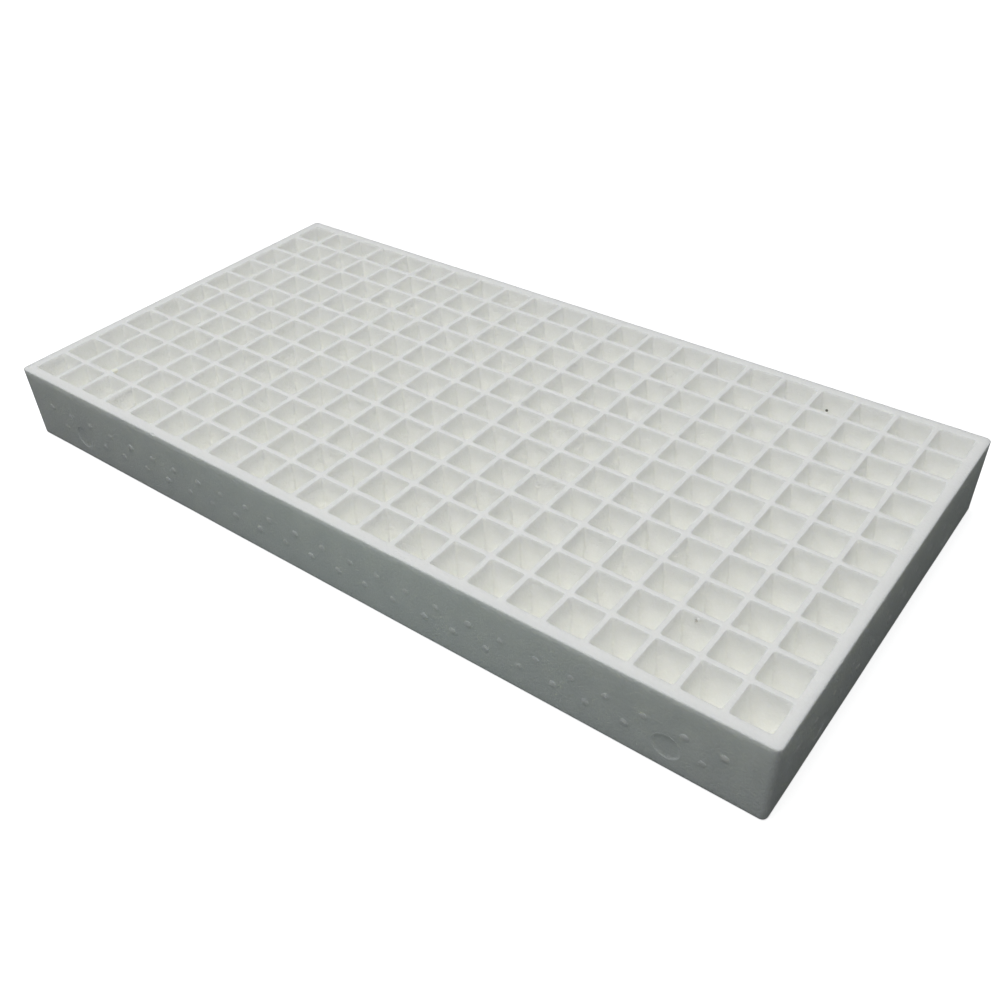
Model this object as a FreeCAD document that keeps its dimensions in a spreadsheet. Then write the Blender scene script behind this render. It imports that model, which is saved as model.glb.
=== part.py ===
import FreeCAD, Part
import os

# Plug tray of expanded polystyrene: 22 x 11 square cells in one rectangular block. Every cell is
# an upside-down pyramid that is open at the top and ends in a square drain hole in the underside.
#
# The real tray is a single moulding. Here it is cut along its own grid into convex sections that
# meet face to face: four outer walls, the long ribs between rows of cells, and the cross ribs
# between columns. The cross ribs are interrupted at every long rib, so one cross rib is a row of
# separate segments.
#
# Frame, in millimetres: origin at the centre of the underside, +X along the long side, +Y from
# the front long side to the back one, +Z up.

# Driving sizes, one spreadsheet row each.
SIZES = [
    ("cells_long", 22),  # cells along X
    ("cells_wide", 11),  # cells along Y
    ("cell_pitch", 30),  # centre to centre, the same both ways
    ("rim_margin", 6.5),  # from the outermost pitch line to the outer face, at the top
    ("tray_height", 63.5),
    ("rib_top", 4),  # width of a rib at the top face
    ("drain_width", 11),  # width of a cell at the underside
    ("outer_draft", 1),  # how far an outer face leans in from the top to the underside
    ("corner_radius", 4),  # upright outer corners
    ("top_edge_radius", 1),
    ("bottom_edge_radius", 2.5),
]

# Distances from the tray's middle or from a rib's middle, as spreadsheet expressions.
GRID_X = "sizes.cells_long * sizes.cell_pitch / 2"
GRID_Y = "sizes.cells_wide * sizes.cell_pitch / 2"
HALF_RIB_TOP = "sizes.rib_top / 2"
HALF_RIB_FOOT = "(sizes.cell_pitch - sizes.drain_width) / 2"
HALF_CELL_TOP = "(sizes.cell_pitch - sizes.rib_top) / 2"
HALF_CELL_FOOT = "sizes.drain_width / 2"
HALF_LENGTH_TOP = f"{GRID_X} + sizes.rim_margin"
HALF_LENGTH_FOOT = f"{HALF_LENGTH_TOP} - sizes.outer_draft"

OUT_DIR = "parts"
TOLERANCE = 0.001  # for comparing places, in millimetres
VOLUME_SLACK = 0.002  # the rounded edges may take this share off the sharp-edged volume

doc = FreeCAD.newDocument("plug_tray")


def make_sheet():
    """The spreadsheet of driving sizes, with the names in column A and the numbers in column B."""
    sheet = doc.addObject("Spreadsheet::Sheet", "sizes")
    for row, (alias, value) in enumerate(SIZES, start=1):
        sheet.set(f"A{row}", alias)
        sheet.set(f"B{row}", str(value))
        sheet.setAlias(f"B{row}", alias)
    doc.recompute()
    return sheet


def add_body(name):
    """An empty body whose label is the sub-part's name."""
    body = doc.addObject("PartDesign::Body", name)
    body.Label = name
    return body


def add_block(body, foot, top):
    """A straight-sided block on the underside's level, as high as the tray.

    foot and top are its lower and upper rectangles: half the length along X, then the nearest and
    furthest distances along -Y. All are expressions.
    """
    block = body.newObject("PartDesign::AdditiveWedge", f"{body.Name}_block")
    # A wedge grows along its own Y, so it is turned to stand up, which points its own Z along -Y.
    block.Placement.Rotation = FreeCAD.Rotation(FreeCAD.Vector(1, 0, 0), 90)
    limits = {
        "Xmin": f"-({foot[0]})",
        "Xmax": foot[0],
        "Zmin": foot[1],
        "Zmax": foot[2],
        "X2min": f"-({top[0]})",
        "X2max": top[0],
        "Z2min": top[1],
        "Z2max": top[2],
        "Ymin": "0",
        "Ymax": "sizes.tray_height",
    }
    for limit, expression in limits.items():
        block.setExpression(limit, expression)
    return block


def round_edges(body, base, edge_names, radius, name):
    """A fillet of the radius expression on edges of the feature base."""
    fillet = body.newObject("PartDesign::Fillet", f"{body.Name}_{name}")
    fillet.Base = (base, edge_names)
    fillet.setExpression("Radius", radius)
    doc.recompute()
    return fillet


def upright_corners(block, outside):
    """The names of a wall's upright edges that lie further out than the distance outside."""
    return [
        f"Edge{number}"
        for number, edge in enumerate(block.Shape.Edges, start=1)
        if edge.BoundBox.ZLength > edge.BoundBox.YLength and edge.CenterOfMass.y < -outside
    ]


def outermost_edge(feature, height):
    """The name of the edge at this height that lies furthest out, with its tangent edges after it."""
    level = [
        (edge.CenterOfMass.y, number)
        for number, edge in enumerate(feature.Shape.Edges, start=1)
        if abs(edge.BoundBox.ZMin - height) < TOLERANCE and edge.BoundBox.ZLength < TOLERANCE
    ]
    return f"Edge{min(level)[1]}"


def add_wall(name, half_lengths, grid, turn, has_corners):
    """An outer wall, made as the front wall is placed and then turned about Z.

    half_lengths are half its length at the foot and at the top, and grid is the distance from the
    tray's middle to the pitch line that the wall stands on. A wall that runs the whole side has
    the tray's rounded upright corners.
    """
    body = add_body(name)
    foot = (half_lengths[0], f"{grid} - {HALF_RIB_FOOT}", f"{grid} + sizes.rim_margin - sizes.outer_draft")
    top = (half_lengths[1], f"{grid} - {HALF_RIB_TOP}", f"{grid} + sizes.rim_margin")
    shape = add_block(body, foot, top)
    doc.recompute()
    if has_corners:
        pitch_line = sheet.cells_wide * sheet.cell_pitch / 2
        corners = upright_corners(shape, pitch_line)
        shape = round_edges(body, shape, corners, "sizes.corner_radius", "corners")
    shape = round_edges(
        body, shape, [outermost_edge(shape, sheet.tray_height)], "sizes.top_edge_radius", "top_edge"
    )
    round_edges(body, shape, [outermost_edge(shape, 0)], "sizes.bottom_edge_radius", "bottom_edge")
    body.Placement.Rotation = FreeCAD.Rotation(FreeCAD.Vector(0, 0, 1), turn)
    return body


def add_long_rib(number):
    """The rib between two rows of cells, from the left wall to the right wall."""
    body = add_body(f"long_rib_{number:02d}")
    foot = (f"{GRID_X} - {HALF_RIB_FOOT}", f"-{HALF_RIB_FOOT}", HALF_RIB_FOOT)
    top = (f"{GRID_X} - {HALF_RIB_TOP}", f"-{HALF_RIB_TOP}", HALF_RIB_TOP)
    add_block(body, foot, top)
    body.setExpression("Placement.Base.y", f"({number} - sizes.cells_wide / 2) * sizes.cell_pitch")
    return body


def add_cross_rib(number):
    """The rib between two columns of cells: one segment in each row, repeated along Y."""
    body = add_body(f"cross_rib_{number:02d}")
    foot = (HALF_RIB_FOOT, f"-{HALF_CELL_FOOT}", HALF_CELL_FOOT)
    top = (HALF_RIB_TOP, f"-{HALF_CELL_TOP}", HALF_CELL_TOP)
    segment = add_block(body, foot, top)
    axis = next(f for f in body.Origin.OriginFeatures if f.Role == "Y_Axis")
    row = body.newObject("PartDesign::LinearPattern", f"{body.Name}_segments")
    row.Originals = [segment]
    row.Direction = (axis, [""])
    row.setExpression("Length", "(sizes.cells_wide - 1) * sizes.cell_pitch")
    row.setExpression("Occurrences", "sizes.cells_wide")
    body.Tip = row
    body.setExpression("Placement.Base.x", f"({number} - sizes.cells_long / 2) * sizes.cell_pitch")
    body.setExpression("Placement.Base.y", "-(sizes.cells_wide - 1) / 2 * sizes.cell_pitch")
    return body


def sharp_volume():
    """The tray's volume before its outer edges are rounded: a drafted block less its cells."""

    def tapered(foot_x, foot_y, top_x, top_y):
        middle = (foot_x + top_x) * (foot_y + top_y)
        return sheet.tray_height / 6 * (foot_x * foot_y + middle + top_x * top_y)

    length = sheet.cells_long * sheet.cell_pitch + 2 * sheet.rim_margin
    width = sheet.cells_wide * sheet.cell_pitch + 2 * sheet.rim_margin
    lean = 2 * sheet.outer_draft
    opening = sheet.cell_pitch - sheet.rib_top
    block = tapered(length - lean, width - lean, length, width)
    cell = tapered(sheet.drain_width, sheet.drain_width, opening, opening)
    return block - sheet.cells_long * sheet.cells_wide * cell


def check(bodies):
    """Stops the build if a feature failed, a shape is bad or the sections don't fill the tray."""
    for thing in doc.Objects:
        if "Invalid" in thing.State or "Error" in thing.State:
            raise RuntimeError(f"{thing.Label} failed: {thing.State}")
    for body in bodies:
        if body.Shape.isNull() or not body.Shape.isValid():
            raise RuntimeError(f"{body.Label} has no valid shape")
        expected = sheet.cells_wide if body.Label.startswith("cross_rib") else 1
        if len(body.Shape.Solids) != expected:
            raise RuntimeError(f"{body.Label} has {len(body.Shape.Solids)} solids, not {expected}")
    total = sum(body.Shape.Volume for body in bodies)
    lost = 1 - total / sharp_volume()
    print(f"{len(bodies)} sub-parts, {total / 1e6:.3f} litres, {lost:.4%} taken by rounded edges")
    if not 0 < lost < VOLUME_SLACK:
        raise RuntimeError("the sections overlap or leave gaps")


sheet = make_sheet()

long_wall = (HALF_LENGTH_FOOT, HALF_LENGTH_TOP)
short_wall = (f"{GRID_Y} - {HALF_RIB_FOOT}", f"{GRID_Y} - {HALF_RIB_TOP}")

sub_parts = [
    add_wall("front_wall", long_wall, GRID_Y, 0, True),
    add_wall("right_wall", short_wall, GRID_X, 90, False),
    add_wall("back_wall", long_wall, GRID_Y, 180, True),
    add_wall("left_wall", short_wall, GRID_X, 270, False),
]
sub_parts += [add_long_rib(number) for number in range(1, int(sheet.cells_wide))]
sub_parts += [add_cross_rib(number) for number in range(1, int(sheet.cells_long))]

doc.recompute()
check(sub_parts)

os.makedirs(OUT_DIR, exist_ok=True)
for sub_part in sub_parts:
    sub_part.Shape.exportStep(os.path.join(OUT_DIR, f"{sub_part.Label}.step"))
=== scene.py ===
import bmesh
import bpy
import math
from mathutils import Matrix, Vector, noise


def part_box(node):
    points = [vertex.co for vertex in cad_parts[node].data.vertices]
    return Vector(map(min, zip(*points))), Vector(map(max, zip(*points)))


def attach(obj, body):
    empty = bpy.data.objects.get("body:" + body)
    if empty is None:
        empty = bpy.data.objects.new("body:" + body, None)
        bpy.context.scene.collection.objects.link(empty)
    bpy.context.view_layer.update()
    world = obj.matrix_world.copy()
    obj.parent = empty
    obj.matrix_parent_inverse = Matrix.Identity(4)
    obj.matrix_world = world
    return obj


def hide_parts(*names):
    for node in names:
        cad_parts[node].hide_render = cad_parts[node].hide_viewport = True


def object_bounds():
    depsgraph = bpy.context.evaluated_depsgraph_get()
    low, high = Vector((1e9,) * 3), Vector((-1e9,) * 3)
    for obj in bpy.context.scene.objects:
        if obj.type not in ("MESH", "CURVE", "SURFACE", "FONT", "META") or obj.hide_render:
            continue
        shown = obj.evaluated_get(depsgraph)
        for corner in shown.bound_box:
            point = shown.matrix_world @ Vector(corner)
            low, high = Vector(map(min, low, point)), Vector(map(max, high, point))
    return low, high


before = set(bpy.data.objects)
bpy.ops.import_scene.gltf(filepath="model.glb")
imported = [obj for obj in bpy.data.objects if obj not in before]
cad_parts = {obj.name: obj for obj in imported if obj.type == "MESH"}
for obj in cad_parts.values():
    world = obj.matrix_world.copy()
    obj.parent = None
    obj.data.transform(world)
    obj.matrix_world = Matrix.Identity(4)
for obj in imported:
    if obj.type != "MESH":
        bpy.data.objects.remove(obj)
CAD_LOW, CAD_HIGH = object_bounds()

# A plug tray of moulded polystyrene foam. The CAD model cuts it along its grid into 35 sections;
# here one continuous closed skin stands for all of them, because the real tray is one moulding.
# Everything is in metres in the CAD frame: origin at the centre of the underside, +X along the
# long side, +Y to the back, +Z up.

MM = 0.001
NOISE_SEED = 7  # without one, noise.noise_vector() differs from run to run

# ---------------------------------------------------------------------------------------------
# Sizes read from the frame
# ---------------------------------------------------------------------------------------------

cross_ribs = sorted(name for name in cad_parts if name.startswith("cross_rib"))
long_ribs = sorted(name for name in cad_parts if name.startswith("long_rib"))
COLUMNS = len(cross_ribs) + 1
ROWS = len(long_ribs) + 1

first_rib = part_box(cross_ribs[0])
second_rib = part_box(cross_ribs[1])
long_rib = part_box(long_ribs[0])
PITCH = second_rib[0].x - first_rib[0].x
RIB_FOOT = first_rib[1].x - first_rib[0].x
GRID_X = COLUMNS * PITCH / 2
GRID_Y = ROWS * PITCH / 2
RIB_TOP = 2 * GRID_X - (long_rib[1].x - long_rib[0].x)
HEIGHT = CAD_HIGH.z

OUTER_DRAFT = 1.0 * MM
TOP_EDGE_RADIUS = 1.0 * MM
BOTTOM_EDGE_RADIUS = 2.5 * MM
CORNER_RADIUS = 4.0 * MM

# The CAD box is widest where the top edge's rounding meets the leaning outer face.
LEAN_AT_EDGE = OUTER_DRAFT * TOP_EDGE_RADIUS / HEIGHT
HALF_LENGTH = CAD_HIGH.x + LEAN_AT_EDGE
HALF_WIDTH = CAD_HIGH.y + LEAN_AT_EDGE

# Sizes of what the CAD model leaves out.
CELL_EDGE_RADIUS = 0.6 * MM  # rounding of a cell's edge at the top face
DRAIN_EDGE_RADIUS = 0.5 * MM
CELL_CORNER_TOP = 1.7 * MM  # a cell's upright corners, at the top and at the underside
CELL_CORNER_FOOT = 1.0 * MM
UNEVENNESS = 0.12 * MM  # how far the foam's surface wanders
UNEVEN_LENGTH = 14 * MM

EDGE_STEPS = 3  # straight steps round a rounded edge
CELL_CORNER_STEPS = 4
OUTER_CORNER_STEPS = 6
WALL_STEPS = 3

# ---------------------------------------------------------------------------------------------
# Camera
# ---------------------------------------------------------------------------------------------

CAMERA_PLACE = Vector((0.4456, -0.5378, 0.5171))
CAMERA_AIM = Vector((0.0648, -0.0538, 0.0310))
CAMERA_ROLL = math.radians(-2.02)
CAMERA_LENS = 38.94
SENSOR_WIDTH = 36


def add_camera():
    """The camera at the photograph's viewing angle."""
    data = bpy.data.cameras.new("camera")
    data.lens = CAMERA_LENS
    data.sensor_width = SENSOR_WIDTH
    data.clip_start = 0.01
    camera = bpy.data.objects.new("camera", data)
    turn = (CAMERA_AIM - CAMERA_PLACE).to_track_quat("-Z", "Y").to_matrix()
    turn = turn @ Matrix.Rotation(CAMERA_ROLL, 3, "Z")
    camera.matrix_world = Matrix.Translation(CAMERA_PLACE) @ turn.to_4x4()
    bpy.context.collection.objects.link(camera)
    bpy.context.scene.camera = camera


# ---------------------------------------------------------------------------------------------
# The tray's skin
# ---------------------------------------------------------------------------------------------


class Shell:
    """The vertices and faces of a mesh.

    A loop is a closed line of vertices in four quarters, counter-clockwise from above. Each
    quarter is a corner, as a list of vertex numbers, and then a side, as another list.
    """

    def __init__(self):
        self.points = []
        self.faces = []

    def add(self, points):
        """Adds points and returns their vertex numbers."""
        first = len(self.points)
        self.points.extend(points)
        return list(range(first, len(self.points)))

    def add_loop(self, quarters):
        """Adds the points of a loop's quarters and returns the loop."""
        return [(self.add(corner), self.add(side)) for corner, side in quarters]

    def bridge(self, first, second):
        """Faces between two loops that have the same number of vertices."""
        first = [vertex for corner, side in first for vertex in corner + side]
        second = [vertex for corner, side in second for vertex in corner + side]
        for here in range(len(first)):
            there = (here + 1) % len(first)
            self.faces.append((first[here], first[there], second[there], second[here]))

    def flat_band(self, outer, inner, upward):
        """Faces of a level band between two loops, one of which has pointed corners."""
        faces = []
        for quarter in range(4):
            outer_corner, outer_side = outer[quarter]
            inner_corner, inner_side = inner[quarter]
            after = (quarter + 1) % 4
            faces += [
                (a, b, inner_corner[0]) for a, b in zip(outer_corner, outer_corner[1:])
            ]
            faces += [
                (outer_corner[0], b, a) for a, b in zip(inner_corner, inner_corner[1:])
            ]
            outer_line = outer_corner[-1:] + outer_side + outer[after][0][:1]
            inner_line = inner_corner[-1:] + inner_side + inner[after][0][:1]
            for step in range(len(outer_line) - 1):
                faces.append(
                    (outer_line[step], outer_line[step + 1], inner_line[step + 1], inner_line[step])
                )
        self.faces += faces if upward else [tuple(reversed(face)) for face in faces]

    def make_object(self, name):
        """A new object with this mesh, smooth shaded."""
        mesh = bpy.data.meshes.new(name)
        mesh.from_pydata(self.points, [], self.faces)
        mesh.validate()
        mesh.shade_smooth()
        thing = bpy.data.objects.new(name, mesh)
        bpy.context.collection.objects.link(thing)
        return thing


def rounded_line(points, radii, wall_steps):
    """A line through points whose inner points are rounded, the wall between them in steps.

    points are (distance out, height): a start, two corners and an end. The start and the end
    aren't part of what is returned.
    """
    start, upper, lower, end = (Vector(point) for point in points)
    arcs = [
        rounded_corner(start, upper, lower, radii[0]),
        rounded_corner(upper, lower, end, radii[1]),
    ]
    wall_start = arcs[0][-1]
    wall = [
        wall_start.lerp(arcs[1][0], step / wall_steps) for step in range(1, wall_steps)
    ]
    return arcs[0] + wall + arcs[1]


def rounded_corner(before, corner, after, radius):
    """Points along the arc that rounds a corner, tangent to both of its lines."""
    to_before = (before - corner).normalized()
    to_after = (after - corner).normalized()
    half_angle = to_before.angle(to_after) / 2
    centre = corner + (to_before + to_after).normalized() * radius / math.sin(half_angle)
    spoke = corner + to_before * radius / math.tan(half_angle) - centre
    turn = math.radians(180) - 2 * half_angle
    if to_before.cross(to_after) > 0:
        turn = -turn
    points = []
    for step in range(EDGE_STEPS + 1):
        angle = turn * step / EDGE_STEPS
        points.append(centre + Matrix.Rotation(angle, 2) @ spoke)
    return points


def rounded_rectangle(centre, half_x, half_y, radius, height, steps, cuts_x=(), cuts_y=()):
    """A level loop's quarters. cuts_x and cuts_y are places along its sides, in rising order."""
    signs = [(1, 1), (-1, 1), (-1, -1), (1, -1)]
    sides = [
        [(x, half_y) for x in reversed(cuts_x)],
        [(-half_x, y) for y in reversed(cuts_y)],
        [(x, -half_y) for x in cuts_x],
        [(half_x, y) for y in cuts_y],
    ]
    quarters = []
    for quarter, (sign_x, sign_y) in enumerate(signs):
        corner = []
        for step in range(steps + 1):
            angle = math.radians(90) * (quarter + step / steps)
            corner.append(
                (
                    centre[0] + sign_x * (half_x - radius) + radius * math.cos(angle),
                    centre[1] + sign_y * (half_y - radius) + radius * math.sin(angle),
                    height,
                )
            )
        side = [(centre[0] + x, centre[1] + y, height) for x, y in sides[quarter]]
        quarters.append((corner, side))
    return quarters


def add_cell(shell, column, row, corners):
    """One cell: its mouth, its four leaning walls and its drain hole.

    corners has the vertex numbers of the pitch lines' crossings, at the top and the underside.
    """
    half_mouth = (PITCH - RIB_TOP) / 2
    half_drain = (PITCH - RIB_FOOT) / 2
    far = PITCH / 2
    line = rounded_line(
        [(far, HEIGHT), (half_mouth, HEIGHT), (half_drain, 0), (far, 0)],
        (CELL_EDGE_RADIUS, DRAIN_EDGE_RADIUS),
        WALL_STEPS,
    )
    centre = (-GRID_X + (column + 0.5) * PITCH, -GRID_Y + (row + 0.5) * PITCH)
    loops = []
    for distance, height in line:
        share = height / HEIGHT
        wall = half_drain + (half_mouth - half_drain) * share
        radius = CELL_CORNER_FOOT + (CELL_CORNER_TOP - CELL_CORNER_FOOT) * share
        radius += distance - wall
        quarters = rounded_rectangle(centre, distance, distance, radius, height, CELL_CORNER_STEPS)
        loops.append(shell.add_loop(quarters))
    for upper, lower in zip(loops, loops[1:]):
        shell.bridge(upper, lower)
    places = [(column + 1, row + 1), (column, row + 1), (column, row), (column + 1, row)]
    for level, loop in ((1, loops[0]), (0, loops[-1])):
        square = [([corners[level][place]], []) for place in places]
        shell.flat_band(square, loop, level == 1)


def add_outside(shell, corners):
    """The outer walls, and the margins of the top face and the underside."""
    cuts_x = [(column - COLUMNS / 2) * PITCH for column in range(1, COLUMNS)]
    cuts_y = [(row - ROWS / 2) * PITCH for row in range(1, ROWS)]
    line = rounded_line(
        [(-PITCH, HEIGHT), (0, HEIGHT), (-OUTER_DRAFT, 0), (-PITCH, 0)],
        (TOP_EDGE_RADIUS, BOTTOM_EDGE_RADIUS),
        WALL_STEPS,
    )
    loops = []
    for distance, height in line:
        wall = -OUTER_DRAFT * (1 - height / HEIGHT)
        quarters = rounded_rectangle(
            (0, 0),
            HALF_LENGTH + distance,
            HALF_WIDTH + distance,
            CORNER_RADIUS + distance - wall,
            height,
            OUTER_CORNER_STEPS,
            cuts_x,
            cuts_y,
        )
        loops.append(shell.add_loop(quarters))
    for upper, lower in zip(loops, loops[1:]):
        shell.bridge(lower, upper)
    for level, loop in ((1, loops[0]), (0, loops[-1])):
        crossing = corners[level]
        grid = [
            ([crossing[COLUMNS, ROWS]], [crossing[c, ROWS] for c in range(COLUMNS - 1, 0, -1)]),
            ([crossing[0, ROWS]], [crossing[0, r] for r in range(ROWS - 1, 0, -1)]),
            ([crossing[0, 0]], [crossing[c, 0] for c in range(1, COLUMNS)]),
            ([crossing[COLUMNS, 0]], [crossing[COLUMNS, r] for r in range(1, ROWS)]),
        ]
        shell.flat_band(loop, grid, level == 1)


def roughen(points):
    """Lets the surface wander a little, as moulded foam does, but not below the underside."""
    moved = []
    for point in points:
        place = Vector(point)
        place += noise.noise_vector(place / UNEVEN_LENGTH) * UNEVENNESS
        place.z = max(place.z, 0)
        moved.append(place)
    return moved


def make_tray():
    """The whole moulding as one closed skin."""
    shell = Shell()
    corners = []
    for height in (0, HEIGHT):
        crossing = {}
        for column in range(COLUMNS + 1):
            for row in range(ROWS + 1):
                point = (-GRID_X + column * PITCH, -GRID_Y + row * PITCH, height)
                crossing[column, row] = shell.add([point])[0]
        corners.append(crossing)
    for column in range(COLUMNS):
        for row in range(ROWS):
            add_cell(shell, column, row, corners)
    add_outside(shell, corners)
    shell.points = roughen(shell.points)
    return shell.make_object("tray_moulding")


# ---------------------------------------------------------------------------------------------
# Marks and flaws of the real moulding, and a painted shadow below a stray bead
# ---------------------------------------------------------------------------------------------

# Steam vents leave low round buttons in two staggered rows along every outer wall.
VENT_PITCH = 25.6 * MM
VENT_END_GAP = 29 * MM  # from a tray corner to the first mark of the upper row
VENT_UPPER_ROW = 36 * MM  # heights above the underside
VENT_LOWER_ROW = 22 * MM
VENT_STEPS = 16
VENT_SCATTER = 3.0 * MM  # how far the vents lie from even steps
VENT_SINK = 0.04 * MM  # how deep the middling vent sits
VENT_SINK_SCATTER = 0.30 * MM
VENT_LINE = [
    (3.0 * MM, -0.80 * MM),
    (3.0 * MM, 0.00 * MM),
    (2.7 * MM, 0.18 * MM),
    (2.2 * MM, 0.33 * MM),
    (1.5 * MM, 0.44 * MM),
    (0.7 * MM, 0.49 * MM),
]
# Ejectors leave two shallow round dents with a low rim near the ends of every outer wall.
EJECTOR_END_GAP = 65.5 * MM
EJECTOR_HEIGHT = 20 * MM
EJECTOR_STEPS = 40
EJECTOR_RIM_LINE = [
    (10.6 * MM, -0.80 * MM),
    (10.6 * MM, 0.00 * MM),
    (10.1 * MM, 0.10 * MM),
    (9.6 * MM, 0.14 * MM),
]
EJECTOR_DENT_LINE = [
    (7.4 * MM, -0.46 * MM),
    (8.4 * MM, -0.34 * MM),
    (9.2 * MM, -0.10 * MM),
    (9.7 * MM, 0.14 * MM),
    (9.8 * MM, 1.50 * MM),
]

SLIVER = 0.002 * MM  # edges shorter than this are closed up after cutting

BLOB_STEPS = 12
BLOB_RINGS = 8
BLOB_DENTS = 0.25  # how uneven a blob is, as a share of its size
BLOB_VARIETY = 1000  # large, so that each blob's place gives it dents of its own

WALL_LEAN = (RIB_FOOT - RIB_TOP) / 2 / HEIGHT  # how far a cell wall comes in for each metre down


def back_wall_place(column, row, across, depth):
    """A point on a cell's back wall. Columns and rows count from 1; across is from its left edge."""
    left = -GRID_X + (column - 1) * PITCH + RIB_TOP / 2
    back = -GRID_Y + row * PITCH - RIB_TOP / 2
    lean = depth * WALL_LEAN
    return Vector((left + lean + across, back - lean, HEIGHT - depth))


GRAIN_PLACE = back_wall_place(19, 11, 4.4 * MM, 14.7 * MM)  # a dark grain of growing mix
GRAIN_SIZE = (0.9 * MM, 0.6 * MM, 0.8 * MM)
STRAY_BEAD_PLACE = back_wall_place(20, 2, 11.2 * MM, 2.6 * MM)
STRAY_BEAD_SIZE = (1.2 * MM, 1.1 * MM, 1.1 * MM)
BEAD_SHADOW_PLACE = STRAY_BEAD_PLACE + Vector((-1.2 * MM, -0.6 * MM, -1.5 * MM))  # a dark blob below the bead, as its painted shadow
BEAD_SHADOW_SIZE = (0.8 * MM, 0.8 * MM, 0.6 * MM)
LUMP_PLACE = Vector((-269.2 * MM, -129.7 * MM, HEIGHT))  # a yellowed bead flattened on a rib
LUMP_SIZE = (2.2 * MM, 2.5 * MM, 0.5 * MM)
CHIP_PLACE = Vector((-170 * MM, -HALF_WIDTH, HEIGHT))  # knocked out of the front top edge
CHIP_SIZE = (3.2 * MM, 1.3 * MM, 1.4 * MM)


def add_turned(shell, line, steps, placement):
    """A closed solid of revolution about its own Z axis, put in place by a matrix.

    line is its outline from the bottom up, as (radius, height).
    """
    loops = []
    for radius, height in line:
        ring = []
        for step in range(steps):
            angle = 2 * math.pi * step / steps
            point = Vector((radius * math.cos(angle), radius * math.sin(angle), height))
            ring.append(placement @ point)
        loops.append(shell.add(ring))
    for lower, upper in zip(loops, loops[1:]):
        for here in range(steps):
            there = (here + 1) % steps
            shell.faces.append((lower[here], lower[there], upper[there], upper[here]))
    shell.faces.append(tuple(reversed(loops[0])))
    shell.faces.append(tuple(loops[-1]))


def add_blob(shell, place, size):
    """A slightly dented ellipsoid with these half sizes."""
    first = len(shell.points)
    line = []
    for ring in range(BLOB_RINGS):
        angle = math.pi * ((ring + 0.5) / BLOB_RINGS - 0.5)
        line.append((math.cos(angle), math.sin(angle)))
    add_turned(shell, line, BLOB_STEPS, Matrix.Diagonal((*size, 1)))
    for number in range(first, len(shell.points)):
        point = shell.points[number]
        dent = 1 + BLOB_DENTS * noise.noise(point / min(size) + place * BLOB_VARIETY)
        shell.points[number] = place + point * dent


def side_length(side):
    """The length of an outer wall. Side 0 is the front, then right, back and left."""
    return 2 * (HALF_LENGTH if side % 2 == 0 else HALF_WIDTH)


def side_placement(side, along, height):
    """A matrix whose Z points out of an outer wall at a place along it from its middle."""
    out = side_length(side + 1) / 2 - OUTER_DRAFT * (1 - height / HEIGHT)
    lean = math.atan(OUTER_DRAFT / HEIGHT)
    return (
        Matrix.Rotation(math.radians(90) * side, 4, "Z")
        @ Matrix.Translation((along, -out, height))
        @ Matrix.Rotation(math.radians(90) + lean, 4, "X")
    )


def ejector_places(side):
    """Where along an outer wall the ejectors pushed."""
    reach = side_length(side) / 2 - EJECTOR_END_GAP
    return (-reach, reach)


def add_vents(shell):
    """The vent buttons, except where an ejector's mark is."""
    clear = EJECTOR_RIM_LINE[0][0] + VENT_LINE[0][0]
    for side in range(4):
        row_length = side_length(side) - 2 * VENT_END_GAP
        gaps = round(row_length / VENT_PITCH)
        spacing = row_length / gaps
        places = [(number * spacing, VENT_UPPER_ROW) for number in range(gaps + 1)]
        places += [((number + 0.5) * spacing, VENT_LOWER_ROW) for number in range(gaps)]
        for distance, height in places:
            scatter = noise.noise_vector(Vector((distance, height, side)) / VENT_PITCH)
            along = distance - row_length / 2 + scatter.x * VENT_SCATTER
            proud = scatter.y * VENT_SINK_SCATTER - VENT_SINK
            nearest = min(
                math.hypot(along - place, height - EJECTOR_HEIGHT) for place in ejector_places(side)
            )
            if nearest > clear:
                placement = side_placement(side, along, height)
                placement = placement @ Matrix.Translation((0, 0, proud))
                add_turned(shell, VENT_LINE, VENT_STEPS, placement)


def add_ejector_marks(shell, line, turn):
    """A disc with this outline for every ejector mark: its raised rim or the cutter for its dent."""
    for side in range(4):
        for along in ejector_places(side):
            placement = side_placement(side, along, EJECTOR_HEIGHT) @ Matrix.Rotation(turn, 4, "Z")
            add_turned(shell, line, EJECTOR_STEPS, placement)


def combine(thing, operation, other):
    """Adds the other object to this one or cuts it away, and removes the other one."""
    change = thing.modifiers.new(operation.lower(), "BOOLEAN")
    change.operation = operation
    change.solver = "MANIFOLD"
    change.object = other
    result = thing.evaluated_get(bpy.context.evaluated_depsgraph_get())
    mesh = bpy.data.meshes.new_from_object(result)
    thing.modifiers.remove(change)
    thing.data = mesh
    bpy.data.objects.remove(other)


def close_slivers(thing):
    """Closes up the hair-thin faces that cutting leaves."""
    mesh = bmesh.new()
    mesh.from_mesh(thing.data)
    bmesh.ops.dissolve_degenerate(mesh, dist=SLIVER, edges=mesh.edges)
    mesh.to_mesh(thing.data)
    mesh.free()


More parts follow.
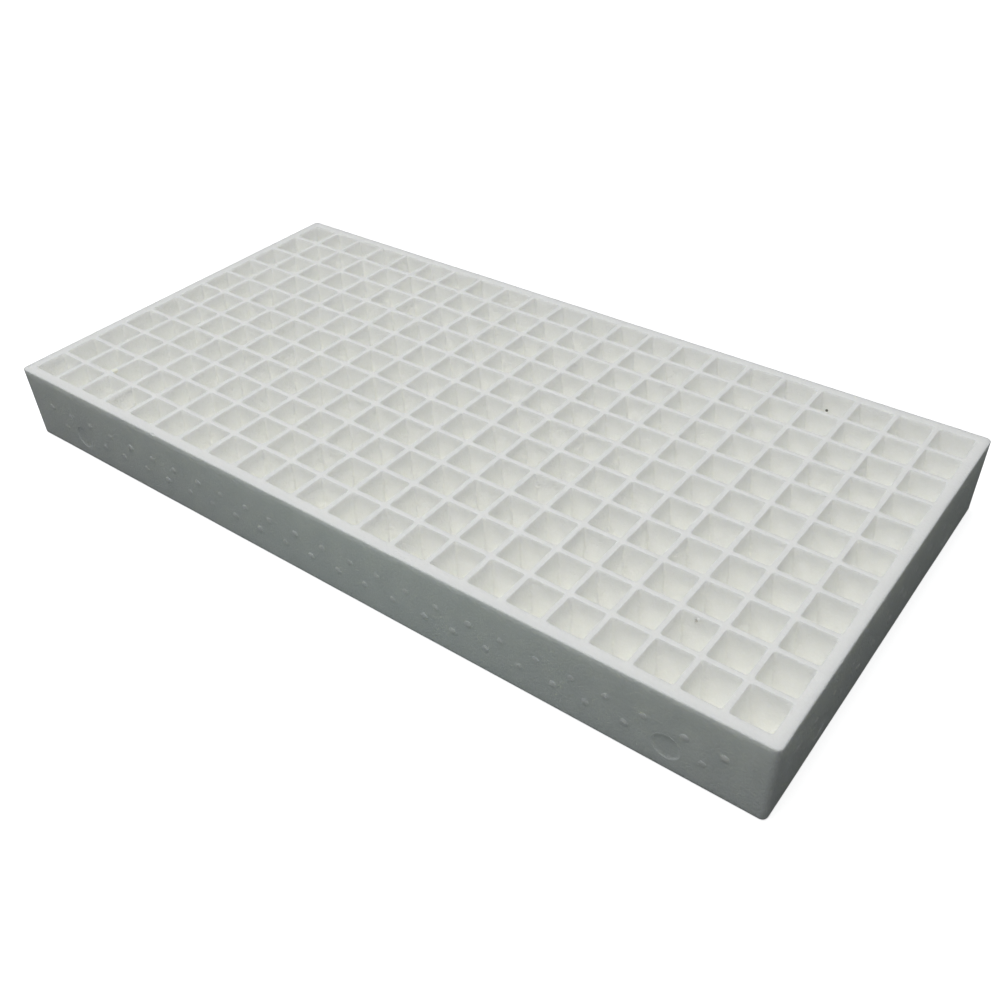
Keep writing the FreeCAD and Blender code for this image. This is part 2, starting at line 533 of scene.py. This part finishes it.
def add_marks(tray):
    """Gives the tray its vent and ejector marks, its flaws and a painted shadow below the stray bead."""
    raised = Shell()
    add_vents(raised)
    add_ejector_marks(raised, EJECTOR_RIM_LINE, 0)
    add_blob(raised, GRAIN_PLACE, GRAIN_SIZE)
    add_blob(raised, STRAY_BEAD_PLACE, STRAY_BEAD_SIZE)
    # A dark blob that stands for the stray bead's shadow.
    add_blob(raised, BEAD_SHADOW_PLACE, BEAD_SHADOW_SIZE)
    add_blob(raised, LUMP_PLACE, LUMP_SIZE)
    combine(tray, "UNION", raised.make_object("raised"))
    sunk = Shell()
    half_step = math.pi / EJECTOR_STEPS  # so that no corner of a dent meets a corner of its rim
    add_ejector_marks(sunk, EJECTOR_DENT_LINE, half_step)
    add_blob(sunk, CHIP_PLACE, CHIP_SIZE)
    combine(tray, "DIFFERENCE", sunk.make_object("sunk"))
    close_slivers(tray)


SHARP_ANGLE = math.radians(38)


def finish_shading(tray):
    """Smooth shading that stays flat on the flat faces."""
    tray.data.shade_smooth()
    tray.data.set_sharp_from_angle(angle=SHARP_ANGLE)
    weighted = tray.modifiers.new("weighted_normals", "WEIGHTED_NORMAL")
    weighted.keep_sharp = True
    result = tray.evaluated_get(bpy.context.evaluated_depsgraph_get())
    mesh = bpy.data.meshes.new_from_object(result)
    tray.modifiers.remove(weighted)
    tray.data = mesh


# ---------------------------------------------------------------------------------------------
# Materials
# ---------------------------------------------------------------------------------------------

FOAM_LIGHT = (0.998, 0.997, 0.981, 1)
FOAM_DARK = (0.986, 0.984, 0.960, 1)
SEAM_COLOUR = (0.80, 0.80, 0.77, 1)
# Painted shade: the top face is painted greyer so that it is no brighter than the cells' walls.
TOP_FACE_PAINTED_SHADE = (0.785, 0.782, 0.772, 1)
# Painted shade and mottling of the outer walls: an even darkening and green tint, with random blotches on
# top.
OUTSIDE_SHADE_AND_MOTTLE = (0.86, 0.88, 0.87, 1)
YELLOWED = (0.93, 0.915, 0.80, 1)
GRAIN_COLOUR = (0.13, 0.125, 0.115, 1)
# Painted shadow below the stray bead.
BEAD_SHADOW_COLOUR = (0.42, 0.40, 0.36, 1)

BEAD_SIZE = 3.0 * MM
BEAD_WARP = 0.5 * MM  # how far the beads' outlines wander from straight
WARP_LENGTH = 4 * MM
BEAD_SPREAD = 0.85  # how unevenly the beads lie
SEAM_WIDTH = 0.08  # as a share of a bead
SEAM_STRENGTH = 0.08  # how much of the seams' colour shows
SEAM_STRENGTH_OUTSIDE = 0.22  # added on the outer walls, which are handled
BEAD_ROUNDING = 0.30
MOTTLE_LENGTH = 16 * MM  # the blotches of the outer walls
EVEN_PAINTED_SHADE = 0.45  # how much of the outer walls' painted shade is the same all over
BLOTCHINESS = 0.6  # how much more of it comes and goes
PIT_SPACING = 2.2 * MM
PIT_WIDTH = 0.20
PIT_SHARE = 0.16  # of the spots where a pit could be
GRAIN_LENGTH = 0.35 * MM
BUMP_DEPTH = 0.30 * MM
BUMP_STRENGTH = 0.45
LEAST_ROUGHNESS = 0.42
ROUGHNESS_SPREAD = 0.2  # how much rougher the roughest bead is

# What makes up the foam's relief, next to a bead's bulge of 1.
LEVEL_RELIEF = 0.1  # how unevenly high the beads stand
SEAM_RELIEF = -0.35
GRAIN_RELIEF = 0.15
PIT_RELIEF = -1.5

TOP_FACE_SHARE = 0.8  # how much of the top face's painted shade shows
OUTSIDE_FADE = (-5 * MM, -2 * MM)  # heights above the outer walls between which their painted shade and mottling set in
VENT_FADE = (0.1 * MM, 0.3 * MM)  # and those where a vent's cap is left out of the painted shade and turns white
SPOT_EDGE = 0.75  # where a spot starts to fade, as a share of its radius


def new_material(name):
    """An empty node material, with its node tree and output."""
    material = bpy.data.materials.new(name)
    material.use_nodes = True
    tree = material.node_tree
    tree.nodes.clear()
    output = tree.nodes.new("ShaderNodeOutputMaterial")
    return material, tree, output


def add_node(tree, kind, inputs, **settings):
    """A node with its settings, and its sockets set or linked."""
    node = tree.nodes.new(kind)
    for name, value in settings.items():
        setattr(node, name, value)
    for socket, value in inputs.items():
        if isinstance(value, bpy.types.NodeSocket):
            tree.links.new(value, node.inputs[socket])
        else:
            node.inputs[socket].default_value = value
    return node


def fade(tree, value, start, end):
    """A value that rises smoothly from 0 at start to 1 at end, or falls if end is the lower."""
    low, high = min(start, end), max(start, end)
    node = add_node(
        tree,
        "ShaderNodeMapRange",
        {
            "Value": value,
            "From Min": low,
            "From Max": high,
            "To Min": 0.0 if start < end else 1.0,
            "To Max": 1.0 if start < end else 0.0,
        },
        interpolation_type="SMOOTHSTEP",
    )
    return node.outputs["Result"]


def times_plus(tree, value, factor, addend):
    """value * factor + addend, as one node."""
    node = add_node(
        tree, "ShaderNodeMath", {0: value, 1: factor, 2: addend}, operation="MULTIPLY_ADD"
    )
    return node.outputs[0]


def mix_colours(tree, factor, first, second):
    """The first colour at factor 0 and the second at 1."""
    node = tree.nodes.new("ShaderNodeMix")
    node.data_type = "RGBA"
    for name, value in (("Factor_Float", factor), ("A_Color", first), ("B_Color", second)):
        socket = next(item for item in node.inputs if item.identifier == name)
        if isinstance(value, bpy.types.NodeSocket):
            tree.links.new(value, socket)
        else:
            socket.default_value = value
    return next(item for item in node.outputs if item.identifier == "Result_Color")


def spot(tree, place, centre, radius):
    """1 at a point of the tray, fading to 0 at the radius."""
    away = add_node(tree, "ShaderNodeVectorMath", {0: place, 1: centre}, operation="DISTANCE")
    return fade(tree, away.outputs["Value"], radius, SPOT_EDGE * radius)


def bead_pattern(tree, place):
    """Flattened beads: seams (1 in a seam), bulge (1 on a bead's middle) and two random values."""
    waves = add_node(tree, "ShaderNodeTexNoise", {"Vector": place, "Scale": 1 / WARP_LENGTH})
    warped = add_node(
        tree,
        "ShaderNodeVectorMath",
        {0: waves.outputs["Color"], 1: (BEAD_WARP,) * 3, 2: place},
        operation="MULTIPLY_ADD",
    ).outputs["Vector"]
    inputs = {"Vector": warped, "Scale": 1 / BEAD_SIZE, "Randomness": BEAD_SPREAD}
    edges = add_node(tree, "ShaderNodeTexVoronoi", inputs, feature="DISTANCE_TO_EDGE")
    cells = add_node(tree, "ShaderNodeTexVoronoi", inputs, feature="F1")
    seams = fade(tree, edges.outputs["Distance"], SEAM_WIDTH, 0.0)
    bulge = fade(tree, edges.outputs["Distance"], 0.0, BEAD_ROUNDING)
    random = add_node(tree, "ShaderNodeSeparateColor", {"Color": cells.outputs["Color"]})
    return seams, bulge, random.outputs["Red"], random.outputs["Green"]


def pit_pattern(tree, place):
    """1 in the small pits where beads didn't quite fuse."""
    inputs = {"Vector": place, "Scale": 1 / PIT_SPACING}
    cells = add_node(tree, "ShaderNodeTexVoronoi", inputs, feature="F1")
    near = fade(tree, cells.outputs["Distance"], PIT_WIDTH, 0.6 * PIT_WIDTH)
    random = add_node(tree, "ShaderNodeSeparateColor", {"Color": cells.outputs["Color"]})
    chosen = add_node(
        tree, "ShaderNodeMath", {0: random.outputs["Blue"], 1: PIT_SHARE}, operation="LESS_THAN"
    )
    return times_plus(tree, near, chosen.outputs[0], 0.0)


def height_above_walls(tree, place):
    """How far a point stands out of the nearest outer wall's leaning face; less than 0 inside."""
    axes = add_node(tree, "ShaderNodeSeparateXYZ", {"Vector": place})
    lean = times_plus(tree, axes.outputs["Z"], -OUTER_DRAFT / HEIGHT, OUTER_DRAFT)
    beyond = []
    for axis, reach in (("X", HALF_LENGTH), ("Y", HALF_WIDTH)):
        away = add_node(tree, "ShaderNodeMath", {0: axes.outputs[axis]}, operation="ABSOLUTE")
        beyond.append(times_plus(tree, away.outputs[0], 1.0, -reach))
    furthest = add_node(tree, "ShaderNodeMath", {0: beyond[0], 1: beyond[1]}, operation="MAXIMUM")
    return times_plus(tree, lean, 1.0, furthest.outputs[0])


def foam_colour(tree, place, seams, shade, pits):
    """White foam: beads of slightly different whites, painted shade on the top face and mottled outer
    walls, the few flaws and a painted shadow below the stray bead.
    """
    height = add_node(tree, "ShaderNodeSeparateXYZ", {"Vector": place}).outputs["Z"]
    top_face = fade(tree, height, HEIGHT - CELL_EDGE_RADIUS, HEIGHT - 0.3 * CELL_EDGE_RADIUS)
    colour = mix_colours(tree, shade, FOAM_DARK, FOAM_LIGHT)
    blotches = add_node(
        tree, "ShaderNodeTexNoise", {"Vector": place, "Scale": 1 / MOTTLE_LENGTH, "Detail": 4}
    ).outputs["Fac"]
    proud = height_above_walls(tree, place)
    outer = fade(tree, proud, *OUTSIDE_FADE)
    # Painted shade on the outer walls, part even and part random mottling in blotches.
    shade_and_mottle = times_plus(tree, blotches, BLOTCHINESS, EVEN_PAINTED_SHADE)
    shade_and_mottle = times_plus(tree, shade_and_mottle, outer, 0.0)
    shaded = mix_colours(tree, shade_and_mottle, colour, OUTSIDE_SHADE_AND_MOTTLE)
    vent = fade(tree, proud, *VENT_FADE)
    colour = mix_colours(tree, vent, shaded, FOAM_LIGHT)
    # Painted shade on the top face, which is darkened against the walls below it.
    shaded_top_colour = mix_colours(tree, TOP_FACE_SHARE, colour, TOP_FACE_PAINTED_SHADE)
    colour = mix_colours(tree, top_face, colour, shaded_top_colour)
    marks = add_node(tree, "ShaderNodeMath", {0: seams, 1: pits}, operation="MAXIMUM")
    strength = times_plus(tree, outer, SEAM_STRENGTH_OUTSIDE, SEAM_STRENGTH)
    faint = times_plus(tree, marks.outputs[0], strength, 0.0)
    colour = mix_colours(tree, faint, colour, SEAM_COLOUR)
    # The last of these is the painted shadow below the stray bead.
    blemishes_and_shadow = [
        (LUMP_PLACE, 1.3 * LUMP_SIZE[0], YELLOWED),
        (GRAIN_PLACE, 1.4 * GRAIN_SIZE[0], GRAIN_COLOUR),
        (BEAD_SHADOW_PLACE, 1.3 * BEAD_SHADOW_SIZE[0], BEAD_SHADOW_COLOUR),
    ]
    for centre, radius, paint in blemishes_and_shadow:
        colour = mix_colours(tree, spot(tree, place, centre, radius), colour, paint)
    return colour


def foam_material():
    """Moulded bead foam: flattened beads with fine seams and small pits, and a faint gloss."""
    material, tree, output = new_material("eps_foam")
    place = tree.nodes.new("ShaderNodeTexCoord").outputs["Object"]
    seams, bulge, shade, level = bead_pattern(tree, place)
    pits = pit_pattern(tree, place)
    grain = add_node(
        tree, "ShaderNodeTexNoise", {"Vector": place, "Scale": 1 / GRAIN_LENGTH, "Detail": 3}
    ).outputs["Fac"]
    relief = times_plus(tree, level, LEVEL_RELIEF, bulge)
    relief = times_plus(tree, seams, SEAM_RELIEF, relief)
    relief = times_plus(tree, grain, GRAIN_RELIEF, relief)
    relief = times_plus(tree, pits, PIT_RELIEF, relief)
    bump = add_node(
        tree,
        "ShaderNodeBump",
        {"Height": relief, "Strength": BUMP_STRENGTH, "Distance": BUMP_DEPTH},
    )
    shader = add_node(
        tree,
        "ShaderNodeBsdfPrincipled",
        {
            "Base Color": foam_colour(tree, place, seams, shade, pits),
            "Roughness": times_plus(tree, level, ROUGHNESS_SPREAD, LEAST_ROUGHNESS),
            "Specular IOR Level": 0.4,
            "Subsurface Weight": 1.0,
            "Subsurface Radius": (1.0, 1.0, 0.95),
            "Subsurface Scale": 6 * MM,
            "Normal": bump.outputs["Normal"],
        },
    )
    tree.links.new(shader.outputs["BSDF"], output.inputs["Surface"])
    return material


# ---------------------------------------------------------------------------------------------
# Floor, light and view
# ---------------------------------------------------------------------------------------------

FLOOR_HALF = 6.0
FLOOR_GAP = 0.05 * MM  # keeps the floor clear of the tray's flat underside
GLOW_NEAR = 0.77  # how much the floor glows round the tray, so that its shadow still shows
GLOW_FAR = 1.0  # and far away, where it runs into the white surround
FLOOR_COLOUR = (0.62, 0.62, 0.62, 1)
FLOOR_BOUNCE = (0.05, 0.052, 0.055, 1)  # the colour by which the floor lights the tray
SURROUND_COLOUR = (0.93, 1.0, 0.98, 1)
SURROUND_STRENGTH = 0.165
WHITE = (1, 1, 1, 1)

# Soft boxes: azimuth and elevation in degrees, distance and size in metres, watts and colour.
KEY_LIGHT = (335, 82, 2.6, 1.9, 55.0, (0.988, 0.99, 1.0))
FILL_LIGHT = (8, 3, 0.5, 0.05, 0.066, (0.72, 0.96, 0.88))


MAX_BOUNCES = 28
DIFFUSE_BOUNCES = 24


def seen_or_felt(tree, seen, felt):
    """A shader that looks like one node, and lights the scene like another."""
    path = tree.nodes.new("ShaderNodeLightPath")
    inputs = {0: path.outputs["Is Camera Ray"], 1: felt.outputs[0], 2: seen.outputs[0]}
    return add_node(tree, "ShaderNodeMixShader", inputs).outputs[0]


def floor_material():
    """A floor that looks nearly white and throws little light back up at the tray."""
    material, tree, output = new_material("floor")
    place = tree.nodes.new("ShaderNodeTexCoord").outputs["Object"]
    away = add_node(tree, "ShaderNodeVectorMath", {0: place}, operation="LENGTH")
    far = fade(tree, away.outputs["Value"], HALF_LENGTH, FLOOR_HALF / 2)
    strength = times_plus(tree, far, GLOW_FAR - GLOW_NEAR, GLOW_NEAR)
    lit = add_node(tree, "ShaderNodeBsdfDiffuse", {"Color": FLOOR_COLOUR})
    glow = add_node(tree, "ShaderNodeEmission", {"Color": WHITE, "Strength": strength})
    seen = add_node(tree, "ShaderNodeAddShader", {0: lit.outputs[0], 1: glow.outputs[0]})
    felt = add_node(tree, "ShaderNodeBsdfDiffuse", {"Color": FLOOR_BOUNCE})
    tree.links.new(seen_or_felt(tree, seen, felt), output.inputs["Surface"])
    return material


def covered_floor_material():
    """The plain pale floor under the tray, which shows only through the drain holes."""
    material, tree, output = new_material("covered_floor")
    plain = add_node(tree, "ShaderNodeBsdfDiffuse", {"Color": FLOOR_COLOUR})
    tree.links.new(plain.outputs[0], output.inputs["Surface"])
    return material


def add_floor():
    """The pale floor that the tray stands on, with a rectangle of its own under the tray."""
    points = []
    for half_x, half_y in ((GRID_X, GRID_Y), (FLOOR_HALF, FLOOR_HALF)):
        points += [(-half_x, -half_y, 0), (half_x, -half_y, 0), (half_x, half_y, 0), (-half_x, half_y, 0)]
    faces = [(0, 1, 2, 3)]
    faces += [(side, side + 4, (side + 1) % 4 + 4, (side + 1) % 4) for side in range(4)]
    mesh = bpy.data.meshes.new("floor")
    mesh.from_pydata(points, [], faces)
    mesh.materials.append(covered_floor_material())
    mesh.materials.append(floor_material())
    for face in mesh.polygons[1:]:
        face.material_index = 1
    floor = bpy.data.objects.new("floor", mesh)
    floor.location.z = -FLOOR_GAP
    bpy.context.collection.objects.link(floor)


def add_soft_light(name, azimuth, elevation, distance, size, power, colour):
    """A square soft box that shines at the tray. Azimuth 0 is in front of it, 90 to its right."""
    data = bpy.data.lights.new(name, "AREA")
    data.shape = "SQUARE"
    data.size = size
    data.energy = power
    data.color = colour
    light = bpy.data.objects.new(name, data)
    turn = math.radians(azimuth)
    rise = math.radians(elevation)
    aim = Vector((math.sin(turn) * math.cos(rise), -math.cos(turn) * math.cos(rise), math.sin(rise)))
    light.rotation_euler = aim.to_track_quat("Z", "Y").to_euler()
    light.location = aim * distance
    light.visible_camera = False
    bpy.context.collection.objects.link(light)


def set_world():
    """A dim even surround, which looks nearly white."""
    world = bpy.data.worlds.new("world")
    bpy.context.scene.world = world
    world.use_nodes = True
    tree = world.node_tree
    tree.nodes.clear()
    output = tree.nodes.new("ShaderNodeOutputWorld")
    seen = add_node(tree, "ShaderNodeBackground", {"Color": WHITE, "Strength": 1.0})
    felt = add_node(
        tree, "ShaderNodeBackground", {"Color": SURROUND_COLOUR, "Strength": SURROUND_STRENGTH}
    )
    tree.links.new(seen_or_felt(tree, seen, felt), output.inputs["Surface"])


def set_view():
    """Plain colours, and enough bounces for the light deep in the cells."""
    scene = bpy.context.scene
    scene.view_settings.view_transform = "Standard"
    scene.view_settings.look = "None"
    scene.cycles.max_bounces = MAX_BOUNCES
    scene.cycles.diffuse_bounces = DIFFUSE_BOUNCES


noise.seed_set(NOISE_SEED)
add_camera()
tray = make_tray()
add_marks(tray)
finish_shading(tray)
tray.data.materials.clear()
tray.data.materials.append(foam_material())
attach(tray, "root")
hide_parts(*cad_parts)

add_floor()
add_soft_light("key", *KEY_LIGHT)
add_soft_light("fill", *FILL_LIGHT)
set_world()
set_view()
